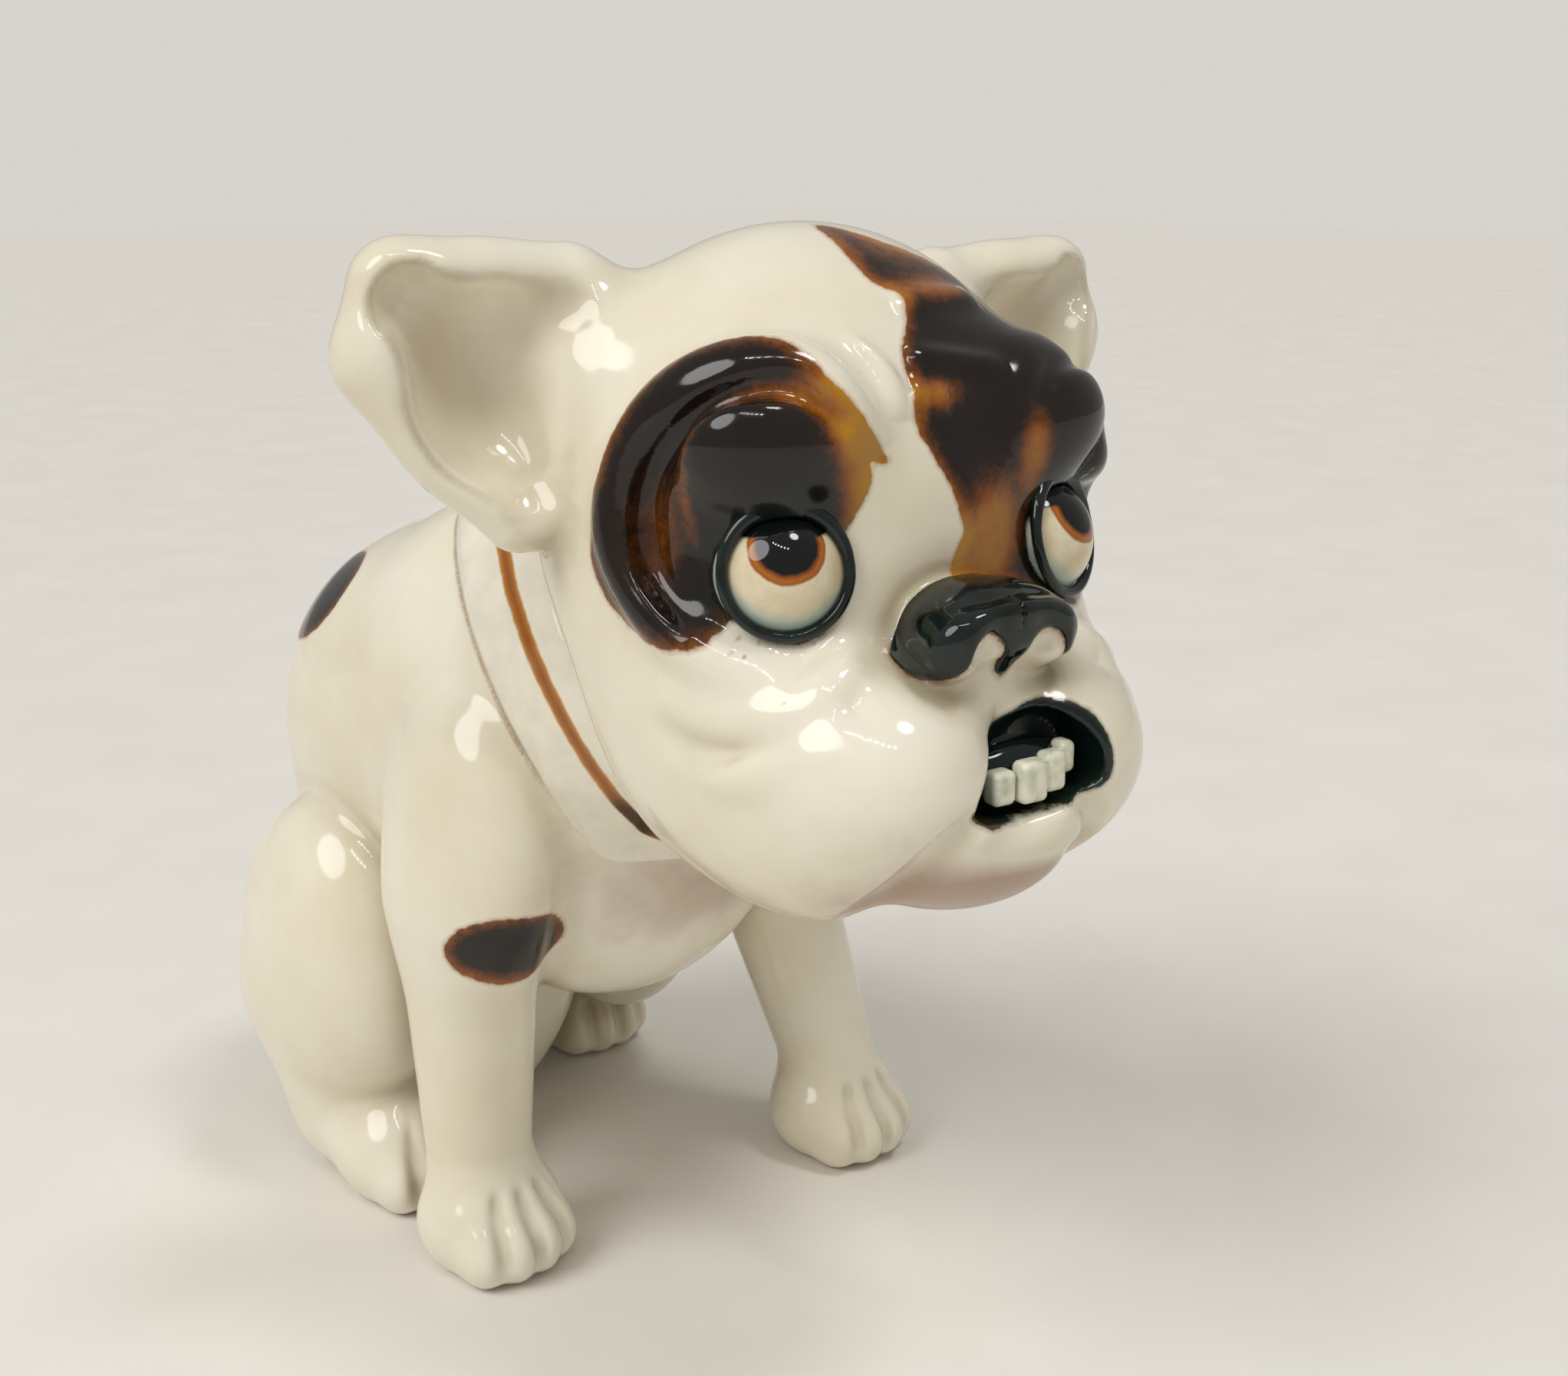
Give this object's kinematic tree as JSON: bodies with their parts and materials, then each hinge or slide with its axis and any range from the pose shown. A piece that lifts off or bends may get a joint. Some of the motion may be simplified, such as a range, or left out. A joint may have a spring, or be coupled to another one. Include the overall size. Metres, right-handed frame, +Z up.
{
  "type": "ceramic bulldog figurine",
  "caption": "Glossy glazed ceramic bulldog, sitting on its rump and hind paws with its head turned, for standing on a shelf.",
  "frame": {"origin": "middle of the flat seat under the rump, on the surface it stands on", "axes": "+Z up, -Y is where the chest faces, +X is the dog's left"},
  "size_m": [0.1027, 0.1559, 0.14],
  "materials": {
    "cream_glaze": "glossy cream-white glaze, olive-beige where it pools, black-brown painted patches",
    "black_glaze": "glossy black-green glaze",
    "amber_glaze": "cream band with a glossy amber-brown painted stripe",
    "eye_glaze": "glossy cream ball with painted iris and pupil",
    "tooth_glaze": "glossy white"
  },
  "bodies": {
    "root": {"body_casting": "cream_glaze", "head_casting": "cream_glaze", "lower_jaw": "cream_glaze", "ear_left": "cream_glaze", "ear_right": "cream_glaze", "front_leg_left": "cream_glaze", "front_leg_right": "cream_glaze", "hind_leg_left": "cream_glaze", "hind_leg_right": "cream_glaze", "tail": "cream_glaze", "collar": "amber_glaze", "nose": "black_glaze", "eye_rim_left": "black_glaze", "eye_rim_right": "black_glaze", "eye_left": "eye_glaze", "eye_right": "eye_glaze", "teeth": "tooth_glaze"}
  },
  "joints": []
}
